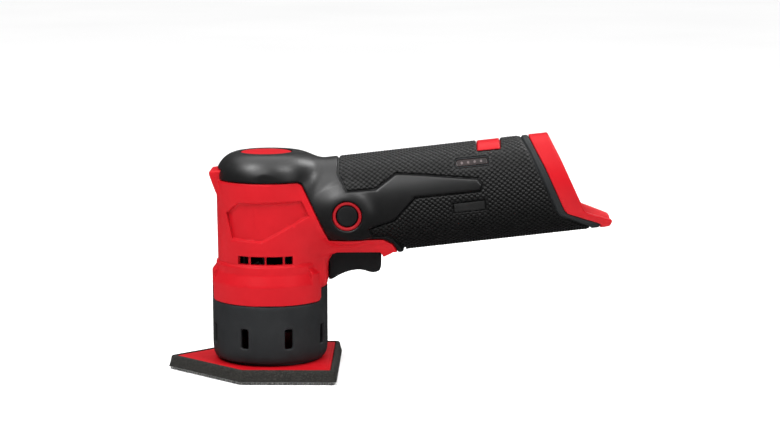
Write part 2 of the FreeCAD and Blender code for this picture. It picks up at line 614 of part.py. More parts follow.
def make_button():
    back, floor, stem_r = -21.6, -18.5, 2.0
    cap = rod_y(BUTTON_R, -(BOSS_TOP - 0.3), back, BUTTON_X, BUTTON_Z)
    stem = rod_y(stem_r, back - 0.1, -12.0, BUTTON_X, BUTTON_Z)
    save("lock_button", fuse(cap, stem))
    bezel = rod_y(BEZEL_R, -BOSS_TOP + 0.4, -17.2, BUTTON_X, BUTTON_Z)
    bezel = bezel.cut(rod_y(BUTTON_R + GAP, -40, floor, BUTTON_X, BUTTON_Z))
    bezel = bezel.cut(rod_y(stem_r + GAP, -40, 0, BUTTON_X, BUTTON_Z))
    save("button_bezel", bezel)
    rest_length = floor - back - 2 * SEAT
    save("lock_button_spring",
         spring(V(BUTTON_X, back + SEAT, BUTTON_Z), Y_AXIS, 3.4, 0.3, rest_length, 3))


def make_electronics():
    save("control_module", fuse(block(68.5, 89.5, -15, 15, 83.0, 106.5),
                                block(70, 88, -12, 12, 106.4, 108.0)))
    block_body = block(97.6, 104.0, -11.5, 11.5, 86.6, 109.4)
    blades = [block(103.9, 113.0, y - 0.5, y + 0.5, z - 2.2, z + 2.2)
              for y, z in ((-7.5, 98.0), (0.0, 98.0), (7.5, 98.0))]
    neck = block(94.0, 97.7, -10, 10, 88, 108)
    save("terminal_block", fuse(block_body, neck))
    save("terminal_blades", Part.makeCompound([b.translated(V(0.15, 0, 0)) for b in blades]))
    t = math.radians(TILT)
    lens = gauge_frame(-0.1, -40, -14).common(handle_solid(0.7)).cut(handle_solid(2.4))
    save("gauge_lens", lens)
    board = gauge_frame(-0.4, -9.6, -8.4)
    save("gauge_board", board)
    leds = []
    for k in range(4):
        u = -5.2 + 3.4 * k
        x, z = GAUGE_X + u * math.cos(t), GAUGE_Z + u * math.sin(t)
        leds.append(rod_y(0.7, -10.6, -9.65, x, z))
    save("gauge_lamps", Part.makeCompound(leds))


def wire_path(points, radius, bend):
    """A round wire along straight runs, with an arc at every corner."""
    edges, last = [], points[0]
    for k in range(1, len(points) - 1):
        here = points[k]
        back = (points[k - 1] - here).normalize()
        on = (points[k + 1] - here).normalize()
        reach = bend / math.tan(back.getAngle(on) / 2)
        start, end = here + back * reach, here + on * reach
        middle = (back + on).normalize()
        half = back.getAngle(on) / 2
        mid = here + middle * (bend / math.sin(half) - bend)
        edges += [Part.makeLine(last, start), Part.Arc(start, mid, end).toShape()]
        last = end
    edges.append(Part.makeLine(last, points[-1]))
    along = Part.Wire(edges)
    direction = (points[1] - points[0]).normalize()
    profile = Part.Wire([Part.makeCircle(radius, points[0], direction)])
    return along.makePipeShell([profile], True, False)


def make_wires():
    phases = [wire_path([V(68.4, y, 95 + lift), V(60, y, 96 + lift), V(40, y * 0.8, 96.5 + lift),
                         V(25.2, y * 0.8, 96.5 + lift)], 0.9, 6.0)
              for y, lift in ((-3.6, 0.0), (0.0, 0.6), (3.6, 0.0))]
    save("motor_leads", Part.makeCompound(phases))
    power = [wire_path([V(89.7, y, 97), V(91.7, y, 97.2), V(93.8, y, 97.2)], 1.1, 4.0)
             for y in (-6, 6)]
    save("battery_leads", Part.makeCompound(power))


make_pad()
make_platen()
make_drive()
make_bearings()
make_motor()
make_carrier()
make_shroud()
make_housing()
make_rubber()
make_rear_collar()
make_trigger()
make_button()
make_electronics()
make_wires()
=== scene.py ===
"""Looks of a cordless detail sander.

The moulded shells, rubber skins, shroud, trigger and pad are shaped as signed distances, in
millimetres and in the row frame, and turned into meshes. Everything inside keeps its CAD mesh.
"""
import json
import math

import bpy
import numpy as np
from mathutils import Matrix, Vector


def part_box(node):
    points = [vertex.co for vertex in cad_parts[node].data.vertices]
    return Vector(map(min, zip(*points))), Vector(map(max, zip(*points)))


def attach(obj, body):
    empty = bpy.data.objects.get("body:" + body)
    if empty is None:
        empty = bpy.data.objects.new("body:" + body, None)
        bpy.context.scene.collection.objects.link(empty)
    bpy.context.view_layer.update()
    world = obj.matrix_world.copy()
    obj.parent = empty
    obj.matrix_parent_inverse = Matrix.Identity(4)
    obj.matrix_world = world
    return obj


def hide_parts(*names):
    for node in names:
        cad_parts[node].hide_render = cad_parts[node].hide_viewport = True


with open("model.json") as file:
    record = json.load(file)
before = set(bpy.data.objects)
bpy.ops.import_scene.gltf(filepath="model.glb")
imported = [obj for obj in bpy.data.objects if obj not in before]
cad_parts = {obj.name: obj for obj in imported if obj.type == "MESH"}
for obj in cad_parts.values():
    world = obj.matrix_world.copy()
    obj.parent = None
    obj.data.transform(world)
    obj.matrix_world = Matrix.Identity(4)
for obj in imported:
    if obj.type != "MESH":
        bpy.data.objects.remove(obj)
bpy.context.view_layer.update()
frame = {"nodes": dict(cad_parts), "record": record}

import openvdb

LEFT, RIGHT = -1, 1
MM = 0.001
COARSE = 1.0


def cad_mm(node):
    """Lowest and highest corner of a CAD node, in millimetres."""
    low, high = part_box(node)
    return [v / MM for v in low], [v / MM for v in high]


# ---- sizes taken from the frame, millimetres ----------------------------------------------
COLLAR_R = cad_mm("dust_shroud")[1][1]
SHROUD_LOW, COLLAR_LOW = cad_mm("dust_shroud")[0][2], cad_mm("dust_shroud")[1][2] + 0.05
TOP = cad_mm("top_medallion")[1][2]
DISC_X = (cad_mm("top_medallion")[0][0] + cad_mm("top_medallion")[1][0]) / 2
DISC_R = (cad_mm("top_medallion")[1][0] - cad_mm("top_medallion")[0][0]) / 2
APRON_LOW = cad_mm("left_housing")[0][2]
BUTTON_X = (cad_mm("lock_button")[0][0] + cad_mm("lock_button")[1][0]) / 2
BUTTON_Z = (cad_mm("lock_button")[0][2] + cad_mm("lock_button")[1][2]) / 2
BUTTON_R = (cad_mm("lock_button")[1][0] - cad_mm("lock_button")[0][0]) / 2
BUTTON_FACE = -cad_mm("lock_button")[0][1]
BEZEL_R = (cad_mm("button_bezel")[1][0] - cad_mm("button_bezel")[0][0]) / 2
PAD_TIP, PAD_HEEL = cad_mm("foam_pad")[0][0] - 1.3, cad_mm("foam_pad")[1][0]
PAD_HALF = cad_mm("foam_pad")[1][1]
PAD_CORNER, PAD_ROUND = -13.95, 3.0
HOOK_PITCH, HOOK_LEAN = 1.35, 0.2
HOOK_SECTION = [(-0.44, -0.36), (0.44, -0.36), (0.0, 0.5)]
PAD_TOP, HOOK_TOP = cad_mm("foam_pad")[1][2], cad_mm("hook_sheet")[1][2]
PLATE_LOW = cad_mm("pad_plate")[0][2]
TRIGGER_FRONT, TRIGGER_BACK = cad_mm("trigger")[0][0], cad_mm("trigger")[1][0]
TRIGGER_LOW, TRIGGER_TOP = cad_mm("trigger")[0][2], cad_mm("trigger")[1][2]
TRIGGER_HALF = cad_mm("trigger")[1][1]

HEAD_R = COLLAR_R - 3.0
HEAD_ROUND = 12.0
SKIN, WALL = 1.6, 2.2            # rubber on the shell, and the shell
PANEL_DEPTH, VENT_DEPTH = 1.6, 2.2
TILT = math.radians(6.55)
AXIS_X, AXIS_Z = 72.2, 92.95
GRIP_HALF_WIDTH, GRIP_HALF_HEIGHT = 23.5, 26.9
FAR = 300.0           # past the tool on every side
ARC = math.radians(1) * 30.0     # length of one degree of arc around the collar
GRIP_R, SCALE_PITCH, SCALE_ROW, SCALE_FILL = 25.0, 3.0, 2.7, 0.6
GROOVE = 0.5          # between the arm and the textured grip

# ---- outlines in the side view, x and z ---------------------------------------------------
RED_EDGE = [(-FAR, 104.5), (16.4, 104.5), (18.4, 103.4), (32.7, 73.7), (61.0, 73.7), (66.4, 70.8),
            (70.4, 64.0), (70.4, -FAR)]
REAR_END = [(148.6, FAR), (148.6, 128.4), (154.9, 116.2), (167.2, 89.8), (168.3, 88.4),
            (182.0, 83.8), (182.8, 82.8), (182.2, 79.0), (180.8, 77.4), (176.5, 76.4), (176.5, -FAR)]
RED_REAR = [(136.4, FAR), (136.4, 130.3), (146.3, 112.2), (156.6, 89.8), (158.4, 87.8),
            (174.8, 81.9), (176.6, 80.6), (176.6, -FAR)]
TRIM_FRONT = [(131.7, FAR), (131.7, 130.2), (138.3, 119.7), (152.4, 89.4), (154.8, 86.4),
              (169.6, 79.9), (171.4, 78.6), (171.4, -FAR)]
ARM = [(37.2, FAR), (37.0, 108.5), (41.9, 99.8), (57.5, 100.8), (67.9, 108.7), (80.7, 108.3),
       (110.7, 106.6), (113.4, 103.4), (111.9, 100.5), (78.2, 97.0), (66.8, 84.5), (53.8, 80.0),
       (56.2, 75.6), (62.6, 75.4), (67.0, 73.6), (72.4, 67.6), (72.4, -FAR)]
PANEL = [(-21.5, 88.1), (-15.1, 93.9), (18.5, 95.1), (22.3, 86.9), (-2.2, 73.3), (-18.3, 74.3)]
BIB = [(-25.0, 92.0), (-28.2, 98.2), (-31.4, 107.0), (-31.5, 108.8), (-27.6, 109.3),
       (-18.0, 109.3), (-18.0, 92.0)]
VENT = (-15.0, 13.6, 61.2, 65.6)
VENT_HOLES = [(-14.2, -9.9), (-8.3, -1.0), (0.0, 8.4), (9.6, 13.0)]
GAUGE_X, GAUGE_Z = 107.8, 115.0
GAUGE = [(-8.7, 1.2), (-7.6, 2.2), (7.8, 2.1), (8.9, 0.9), (8.5, -2.3), (-7.9, -2.1), (-8.7, -1.3)]
BADGE = [(97.8, 94.0), (115.0, 96.0), (115.4, 90.3), (98.4, 88.4)]
LABEL = [(110.5, FAR), (110.7, 120.0), (123.0, 121.2), (123.0, FAR)]
SCREWS = [(-17.5, 109.6, 13.4), (17.5, 109.6, 13.4), (28.6, 69.5, 13.4), (69.0, 111.4, 9.0),
          (76.0, 75.4, 9.0), (90.6, 113.2, 9.0), (90.6, 77.2, 9.0)]


# ---- signed distances: negative inside, millimetres ---------------------------------------
def blend_min(a, b, k):
    """Union with a fillet of about k."""
    h = np.clip(0.5 + 0.5 * (b - a) / k, 0, 1)
    return b + (a - b) * h - k * h * (1 - h)


def blend_max(a, b, k):
    """Intersection with an edge rounded by about k."""
    return -blend_min(-a, -b, k)


def outline(points, u, v):
    """Distance in a plane to a closed outline."""
    near = np.full(np.broadcast(u, v).shape, 1e12, dtype=np.float32)
    inside = np.zeros(near.shape, dtype=bool)
    for (u0, v0), (u1, v1) in zip(points, points[1:] + points[:1]):
        du, dv = u1 - u0, v1 - v0
        wu, wv = u - u0, v - v0
        t = np.clip((wu * du + wv * dv) / (du * du + dv * dv), 0, 1)
        near = np.minimum(near, (wu - du * t) ** 2 + (wv - dv * t) ** 2)
        crosses = (v0 <= v) != (v1 <= v)
        inside ^= crosses & ((du * wv > dv * wu) == (dv > 0))
    return np.where(inside, -1, 1) * np.sqrt(near)


def ahead(line, x, z):
    """Distance to the area on the head's side of a line that runs from top to bottom."""
    return outline([(-2 * FAR, FAR), *line, (-2 * FAR, -FAR)], x, z)


def box(x, y, z, low, high):
    """Distance to a box, exact enough near its faces."""
    d = np.maximum(low[0] - x, x - high[0])
    d = np.maximum(d, np.maximum(low[1] - y, y - high[1]))
    return np.maximum(d, np.maximum(low[2] - z, z - high[2]))


def round_box(x, y, z, low, high, r):
    """Distance to a box whose edges have radius r."""
    qs = [np.maximum(low[i] + r - c, c - high[i] + r) for i, c in enumerate((x, y, z))]
    outside = sum(np.maximum(q, 0) ** 2 for q in qs)
    inside = np.minimum(np.maximum(np.maximum(qs[0], qs[1]), qs[2]), 0)
    return np.sqrt(outside) + inside - r


def along_handle(x, z):
    """Length along the handle and height above its axis."""
    c, s = math.cos(TILT), math.sin(TILT)
    return (x - AXIS_X) * c + (z - AXIS_Z) * s, (z - AXIS_Z) * c - (x - AXIS_X) * s


def handle(x, y, z):
    s, v = along_handle(x, z)
    a, b = GRIP_HALF_WIDTH, GRIP_HALF_HEIGHT
    k0 = np.sqrt((y / a) ** 2 + (v / b) ** 2)
    k1 = np.sqrt((y / a ** 2) ** 2 + (v / b ** 2) ** 2) + 1e-6
    return np.maximum(k0 * (k0 - 1) / k1, -x - 4)


def head(x, y, z):
    r = np.hypot(x, y)
    crown = 0.5 * (r / 16) ** 2
    radius = HEAD_R + (z - 76) * 0.012
    qr, qz = r - radius + HEAD_ROUND, z + crown - TOP + HEAD_ROUND
    corner = np.hypot(np.maximum(qr, 0), np.maximum(qz, 0)) + np.minimum(np.maximum(qr, qz), 0)
    return np.maximum(corner - HEAD_ROUND, COLLAR_LOW + 0.5 - z)


def neck(x, y, z):
    """The web behind the head and the band that frames the trigger."""
    web = round_box(x, y, z, (0, -14.5, COLLAR_LOW + 0.5), (32.0, 14.5, 84), 4)
    band = round_box(x, y, z, (20, -14.5, 58), (72, 14.5, 84), 4)
    nose = outline([(20, 66.3), (59.6, 66.0), (61.3, 63.4), (66.8, 66.0), (75, 66.6), (75, 90),
                    (20, 90)], x, z)
    return web, np.maximum(band, nose)


def under_neck(x, z):
    """The hollow under the neck, with its fillet behind the web."""
    return outline([(32.0, -FAR), (32.0, 58.0), (32.6, 61.6), (34.2, 64.4), (37.0, 65.9),
                    (59.6, 65.7), (61.3, 63.0), (66.8, 65.6), (72.4, 65.6), (72.4, -FAR)], x, z)


def dome(x, y, z):
    """The raised round boss about the lock button, on both sides."""
    ring = np.hypot(x - BUTTON_X, z - BUTTON_Z)
    out = np.abs(y)
    flank = np.maximum((ring - 10.2 - (26.0 - out) * 0.95) * 0.72, ring - 15.5)
    return blend_max(flank, out - 25.8, 2.4)


def body(x, y, z):
    """The whole outer body above the collar."""
    web, band = neck(x, y, z)
    tube = blend_min(handle(x, y, z), dome(x, y, z), 4.5)
    shape = blend_min(blend_min(head(x, y, z), web, 4.5), tube, 5.4)
    shape = blend_min(shape, band, 3.0)
    return blend_max(shape, -under_neck(x, z), 1.0)


def soft_area(x, y, z):
    """Distance to the area that rubber covers, up to the red collar."""
    side = outline([*RED_EDGE, (FAR, -FAR), (FAR, FAR), (-FAR, FAR)], x, z)
    bib = np.maximum(outline(BIB, x, z) - 0.3, np.abs(y) - 11.2)
    return np.maximum(side, -bib)


def round_angle(x, y):
    """Angle about the motor axis in degrees, 0 at the side and positive towards the handle."""
    return np.degrees(np.arctan2(x, np.abs(y)))


def collar(x, y, z):
    """The wide foot of the housing, its aprons, and the stepped pocket above each of them."""
    r = np.hypot(x, y)
    turn = round_angle(x, y)
    full = outline([(0, COLLAR_LOW), (COLLAR_R, COLLAR_LOW), (COLLAR_R, 55.3), (27.4, 59.6),
                    (0, 60.4)], r, z)
    stepped = outline([(0, COLLAR_LOW), (COLLAR_R, COLLAR_LOW), (COLLAR_R, 49.9), (28.9, 55.7),
                       (28.7, 60.2), (27.0, 61.0), (0, 61.0)], r, z)
    middle, half = -10.0, 60.0
    across = (np.abs(turn - middle) - half) * ARC
    pocket = np.maximum(across, (across * 0.9 + (z - 56.6)) * 0.74)
    full = set_back(full, (61.5 - turn) * ARC, 2.2, 0.8)
    ledge = np.maximum(np.maximum(np.abs(z - 60.9) - 0.3, 27.7 - r), across)
    ring = np.minimum(stepped, np.maximum(full, -pocket))
    middle, half = -4.5, 70.5
    ends = (np.abs(turn - middle) - half) * ARC
    apron = np.maximum(r - COLLAR_R, APRON_LOW - z)
    apron = np.maximum(apron, z - COLLAR_LOW - 0.5)
    corner = blend_max(ends, APRON_LOW - z, 4.0)
    apron = np.maximum(apron, corner)
    return np.minimum(ring, apron), ledge


def hollow(x, y, z):
    """The rooms inside the housing: motor and drive in the head, battery in the handle."""
    r = np.hypot(x, y)
    motor = outline([(0, 30), (28.75, 30), (28.75, 46.9), (27.7, 46.9), (27.7, 57.2), (24.9, 57.2),
                     (24.9, 101.8), (22.4, 101.8), (22.4, 105.9), (9.52, 105.9), (9.52, 112.2),
                     (5, 112.2), (5, 114.2), (0, 114.2)], r, z)
    tube = np.maximum(handle(x, y, z) + SKIN + WALL, 28.5 - np.hypot(x, y))
    tube = np.maximum(tube, 2.6 - under_neck(x, z))
    bay = box(x, y, z, (32.1, -8, 30), (60.6, 8, 73))
    return np.minimum(np.minimum(motor, tube), bay)


def set_back(distance, area, depth, wall):
    """Lowers a surface by depth inside an area, with a slope as wide as wall."""
    return distance + depth * np.clip(-area / wall, 0, 1)


def housing(x, y, z, side):
    """One half of the hard shell; y counts outwards from the seam."""
    skin = body(x, y, z)
    soft = soft_area(x, y, z)
    hard = set_back(skin, outline(PANEL, x, z) + 3 * (y < 10), PANEL_DEPTH, 0.5)
    vent = outline([(VENT[0], VENT[2]), (VENT[1], VENT[2]), (VENT[1], VENT[3]),
                    (VENT[0], VENT[3])], x, z)
    foot, ledge = collar(x, y, z)
    hard = np.maximum(blend_min(hard, foot, 0.4), -ledge)
    bib = blend_max(outline(BIB, x, z), np.abs(y) - 11.0, 1.2)
    hard = blend_min(hard, bib, 1.2)
    hard = blend_max(hard, 0.16 - soft, 0.5)
    under = np.maximum(skin + SKIN + 0.1, ahead(RED_REAR, x, z) + 0.1)
    shell = np.minimum(hard, under)
    shell = np.maximum(shell, -np.maximum(np.maximum(vent, 10 - y), -(skin + VENT_DEPTH)))
    shell = np.maximum(shell, ahead(RED_REAR, x, z) + 0.1)
    shell = np.maximum(shell, -hollow(x, y, z))
    for low, high in VENT_HOLES:
        slot = np.maximum(np.maximum(low - x, x - high),
                          np.maximum(VENT[2] + 0.2 - z, z - VENT[3] + 0.2))
        shell = np.maximum(shell, -np.maximum(slot, 20 - y))
    ring = np.hypot(x - BUTTON_X, z - BUTTON_Z)
    if side == LEFT:
        shell = np.maximum(shell, -np.maximum(ring - BEZEL_R - 0.05, 17.1 - y))
        shell = np.maximum(shell, -np.maximum(gauge_area(x, z) - 0.1, 8 - y))
    else:
        shell = np.maximum(shell, -screw_wells(x, y, z))
    return blend_max(shell, 0.06 - y, 0.35)


def screw_wells(x, y, z):
    """The recesses that the housing screws' heads sit in."""
    wells = [np.maximum(np.hypot(x - sx, z - sz) - 3.1, seat - y) for sx, sz, seat in SCREWS]
    holes = [np.hypot(x - sx, z - sz) - 1.6 for sx, sz, seat in SCREWS]
    deep = np.minimum.reduce([np.broadcast_to(w, np.broadcast(x, y, z).shape) for w in wells])
    thin = np.minimum.reduce([np.broadcast_to(h, np.broadcast(x, z).shape) for h in holes])
    return np.minimum(deep, thin)


def skin_between(surface, area, x, y, z, k=0.8):
    """A rubber skin over an area, with soft edges, down to the housing."""
    skin = blend_max(surface, area + 0.16, k)
    return np.maximum(skin, -(body(x, y, z) + SKIN - 0.05))


def grip_area(x, z):
    """Distance to the textured part of the handle."""
    behind_arm = -ahead(ARM, x, z)
    return np.maximum(behind_arm, ahead(TRIM_FRONT, x, z))


def cap_skin(x, y, z, side):
    surface = body(x, y, z) - 0.12
    soft = soft_area(x, y, z)
    arm = ahead(ARM, x, z)
    deep = np.maximum(arm - GROOVE - 0.8, surface + 1.0)
    area = np.maximum(soft, np.minimum(arm, deep))
    disc = np.hypot(x - DISC_X, y) - DISC_R - 0.15
    shape = skin_between(surface, np.maximum(soft, arm), x, y, z, 0.9)
    shape = np.minimum(shape, skin_between(surface + 0.95, area, x, y, z, 0.3))
    shape = np.maximum(shape, -np.maximum(disc, TOP - 3 - z))
    ring = np.hypot(x - BUTTON_X, z - BUTTON_Z)
    if side == LEFT:
        shape = blend_max(shape, -np.maximum(ring - BEZEL_R - 0.12, 15 - y), 0.4)
    else:
        shape = blend_max(shape, -screw_wells(x, y, z), 0.4)
    return blend_max(shape, 0.06 - y, 0.3)


def scales(x, y, z):
    """Height of the grip's overlapping lozenges, 0 to 1."""
    s, v = along_handle(x, z)
    turn = np.arctan2(y, v) * GRIP_R
    a = s / SCALE_PITCH + turn / SCALE_ROW
    b = s / SCALE_PITCH - turn / SCALE_ROW
    fa, fb = a - np.floor(a), b - np.floor(b)
    return np.clip(1 - ((fa + fb - 1) ** 2 + (fa - fb) ** 2) / SCALE_FILL, 0, 1) ** 0.7


def grip(x, y, z, side):
    """One half of the textured skin, with the places for the gauge, badge and rating plate."""
    area = grip_area(x, z)
    rim = np.clip((-area - 0.7) / 0.8, 0, 1)
    badge = outline(BADGE, x, z) - 1.0
    label = np.maximum(outline(LABEL, x, z) - 0.3, 2 - z / 60)
    window = gauge_area(x, z) - 0.9 if side == LEFT else badge
    plain = np.minimum(np.minimum(badge, window), label)
    rim = rim * np.clip((plain - 0.2) / 0.7, 0, 1)
    surface = body(x, y, z) + 0.26 - 0.36 * rim * scales(x, y, z)
    area = np.maximum(area, GROOVE - ahead(ARM, x, z))
    shape = skin_between(surface, area, x, y, z, 0.6)
    sunk = np.maximum(badge + 0.9, 10 - y)
    shape = np.maximum(shape, -np.maximum(sunk, -(body(x, y, z) + 1.1)))
    shape = np.maximum(shape, -label)
    if side == LEFT:
        shape = np.maximum(shape, -np.maximum(gauge_area(x, z) - 0.2, 5 - y))
    else:
        shape = blend_max(shape, -screw_wells(x, y, z), 0.4)
    return blend_max(shape, 0.06 - y, 0.3)


def gauge_area(x, z):
    s, v = along_handle(x, z)
    s0, v0 = along_handle(GAUGE_X, GAUGE_Z)
    return outline(GAUGE, s - s0, v - v0)


def trim_ring(x, y, z, side):
    surface = body(x, y, z) + 0.05
    area = np.maximum(GROOVE - ahead(TRIM_FRONT, x, z), ahead(RED_REAR, x, z) + 0.05)
    deep = np.maximum(np.maximum(-ahead(TRIM_FRONT, x, z) - 0.8, area - GROOVE - 0.8), surface + 1.0)
    ring = np.minimum(blend_max(surface, area, 1.0), deep)
    return np.maximum(ring, -(body(x, y, z) + SKIN - 0.05))


def rear_collar(x, y, z, side):
    surface = body(x, y, z) - 0.1
    area = np.maximum(0.05 - ahead(RED_REAR, x, z), ahead(REAR_END, x, z))
    wall = np.maximum(surface, -(handle(x, y, z) + SKIN + WALL))
    return blend_max(wall, area, 1.1)


def shroud(x, y, z, side):
    """The dust shroud: a thin drum with eight slots, cut away behind the aprons."""
    r = np.hypot(x, y)
    turn = round_angle(x, y)
    drum = outline([(COLLAR_R, COLLAR_LOW - 0.1), (COLLAR_R, 15.5), (COLLAR_R - 0.2, 12.4),
                    (COLLAR_R - 0.7, 10.2), (COLLAR_R - 1.5, SHROUD_LOW), (COLLAR_R - 2.6, SHROUD_LOW),
                    (COLLAR_R - 2.2, 12.0), (COLLAR_R - 2.2, COLLAR_LOW - 0.1)], r, z)
    ends = (np.abs(turn + 4.5) - 71.0) * ARC
    behind_apron = np.maximum(blend_max(ends, APRON_LOW - 0.25 - z, 4.0), COLLAR_R - 4 - r)
    drum = blend_max(drum, -behind_apron, 0.3)
    lip = np.maximum(np.maximum(r - (COLLAR_R - 2.3), (COLLAR_R - 3.5) - r),
                     np.maximum(36.5 - z, z - 44))
    drum = np.minimum(drum, lip)
    theta = np.degrees(np.arctan2(y, x)) - 22.5
    off = (theta - 45 * np.round(theta / 45)) * ARC
    qa, qz = np.abs(off) - 2.15 + 1.2, np.abs(z - 21.9) - 5.3 + 1.2
    slot = np.hypot(np.maximum(qa, 0), np.maximum(qz, 0)) + np.minimum(np.maximum(qa, qz), 0) - 1.2
    return blend_max(drum, -slot, 0.5)


def trigger(x, y, z, side):
    """The paddle, with its finger curve."""
    paddle = outline([(TRIGGER_FRONT, TRIGGER_TOP), (TRIGGER_BACK, TRIGGER_TOP),
                      (TRIGGER_BACK, 57.2), (59.0, 55.4), (57.4, 54.5), (55.4, 54.3), (53.4, 54.7),
                      (51.0, 55.5), (48.6, 55.8), (46.0, 55.7), (43.4, 55.2), (40.8, 54.4),
                      (38.4, 53.4), (36.2, 52.2), (34.6, 51.2), (33.4, TRIGGER_LOW),
                      (TRIGGER_FRONT, TRIGGER_LOW)], x, z)
    return blend_max(paddle - 0.4, np.abs(y) - TRIGGER_HALF, 1.6)


def lock_button(x, y, z, side):
    ring = np.hypot(x - BUTTON_X, z - BUTTON_Z)
    face = y - BUTTON_FACE + 0.35 * (ring / BUTTON_R) ** 2
    cap = blend_max(ring - BUTTON_R, face, 1.0)
    return np.maximum(cap, 19.0 - y)


def button_bezel(x, y, z, side):
    ring = np.hypot(x - BUTTON_X, z - BUTTON_Z)
    wall = np.maximum(ring - BEZEL_R + 0.1, BUTTON_R + 0.35 - ring)
    return np.maximum(blend_max(wall, y - BUTTON_FACE - 0.1, 0.9), 18.4 - y)


def top_disc(x, y, z, side):
    ring = np.hypot(x - DISC_X, y)
    crown = z - TOP + 0.25 + 0.5 * (ring / 16) ** 2
    return np.maximum(blend_max(ring - DISC_R, crown, 0.7), TOP - 1.6 - z)


def rating_plate(x, y, z, side):
    area = outline(LABEL, x, z) + 0.1
    return np.maximum(blend_max(body(x, y, z) + 0.12, area, 1.0), -(body(x, y, z) + SKIN - 0.1))


def side_badge(x, y, z, side):
    area = outline(BADGE, x, z) + 0.45
    return np.maximum(blend_max(body(x, y, z) + 0.5, area, 0.5), -(body(x, y, z) + 1.05))


def gauge_lens(x, y, z, side):
    area = gauge_area(x, z) + 0.45
    return np.maximum(blend_max(body(x, y, z) + 0.45, area, 0.5), -(body(x, y, z) + 2.4))


def gauge_rim(x, y, z, side):
    area = gauge_area(x, z)
    ring = np.maximum(area - 0.1, -(area + 0.4))
    return np.maximum(np.maximum(body(x, y, z) + 0.2, ring), -(body(x, y, z) + 2.0))


def gauge_dots(x, y, z, side):
    s, v = along_handle(x, z)
    s0, v0 = along_handle(GAUGE_X, GAUGE_Z)
    dots = [np.hypot(s - s0 + 5.2 - 3.4 * k, v - v0) - 0.75 for k in range(4)]
    area = np.minimum.reduce(dots)
    return np.maximum(np.maximum(body(x, y, z) + 0.4, area), -(body(x, y, z) + 1.2))


# ---- pad ----------------------------------------------------------------------------------
def pad_corners(r):
    """Corners of the pad's flat-iron plan, moved inwards by r."""
    edge = math.hypot(PAD_CORNER - PAD_TIP, PAD_HALF)
    back = r * edge / PAD_HALF
    slide = r * (edge - (PAD_CORNER - PAD_TIP)) / PAD_HALF
    half = PAD_HALF - r
    return [(PAD_TIP + back, 0.0), (PAD_CORNER + slide, half), (PAD_HEEL - r, half),
            (PAD_HEEL - r, -half), (PAD_CORNER + slide, -half)]


def pad_plan(x, y):
    """Distance to the pad's plan, its corners rounded."""
    return outline(pad_corners(PAD_ROUND), x, y) - PAD_ROUND


def foam_pad(x, y, z, side):
    plan = pad_plan(x, y)
    flank = plan + np.maximum(z - HOOK_TOP, 0) * (1.6 / (PAD_TOP - HOOK_TOP))
    slab = blend_max(flank, z - PAD_TOP, 1.0)
    tray = np.maximum(plan + 3.6, PLATE_LOW - z)
    return np.maximum(blend_max(slab, -tray, 0.3), HOOK_TOP + 0.25 - z)


def hook_sheet():
    """A thin backing sheet with rows of little hooks on its face."""
    corners = pad_corners(0.5)
    high, low, tip = HOOK_TOP + 0.30, HOOK_TOP + 0.10, 0.0
    count = len(corners)
    points = [(x, y, level) for level in (high, low) for x, y in corners]
    faces = [tuple(range(count)), tuple(range(2 * count - 1, count - 1, -1))]
    faces += [(k, k + count, (k + 1) % count + count, (k + 1) % count) for k in range(count)]
    rows = np.arange(PAD_TIP, PAD_HEEL, HOOK_PITCH)
    across = np.arange(-PAD_HALF, PAD_HALF, HOOK_PITCH)
    for i, x in enumerate(rows):
        for y in across + (i % 2) * HOOK_PITCH / 2:
            if pad_plan(np.array([x]), np.array([y]))[0] > -0.5:
                continue
            start = len(points)
            lean = HOOK_LEAN * (-1) ** i
            for level, shift, size in ((low, 0.0, 1.0), (tip, lean, 0.6)):
                points += [(x + shift + a * size, y + b * size, level) for a, b in HOOK_SECTION]
            faces += [(start + k, start + 3 + k, start + 3 + (k + 1) % 3, start + (k + 1) % 3)
                      for k in range(3)]
            faces.append((start + 3, start + 5, start + 4))
    mesh = bpy.data.meshes.new("hook_pile")
    mesh.from_pydata([[v * MM for v in p] for p in points], [], faces)
    mesh.update()
    piece = bpy.data.objects.new("hook_pile", mesh)
    bpy.context.scene.collection.objects.link(piece)
    piece.data.materials.append(hook_pile)
    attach(piece, "pad")
    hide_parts("hook_sheet")


def pad_plate(x, y, z, side):
    plan = pad_plan(x, y) + 3.75
    top = PAD_TOP - 0.25
    surface = blend_max(plan, z - top, 0.8)
    gutter = np.maximum(np.abs(plan + 1.6) - 0.3, top - 0.3 - z)
    return np.maximum(blend_max(surface, -gutter, 0.2), PLATE_LOW - z)


# ---- meshes from distances ----------------------------------------------------------------
def sample(values, at):
    """Values between the sample points, at places given in steps."""
    at = np.clip(at, 0, np.array(values.shape) - 1.001)
    base = np.floor(at).astype(int)
    part = at - base
    total = 0
    for corner in np.ndindex(2, 2, 2):
        weight = np.prod(np.where(corner, part, 1 - part), axis=1)
        total = total + weight * values[tuple((base + corner).T)]
    return total


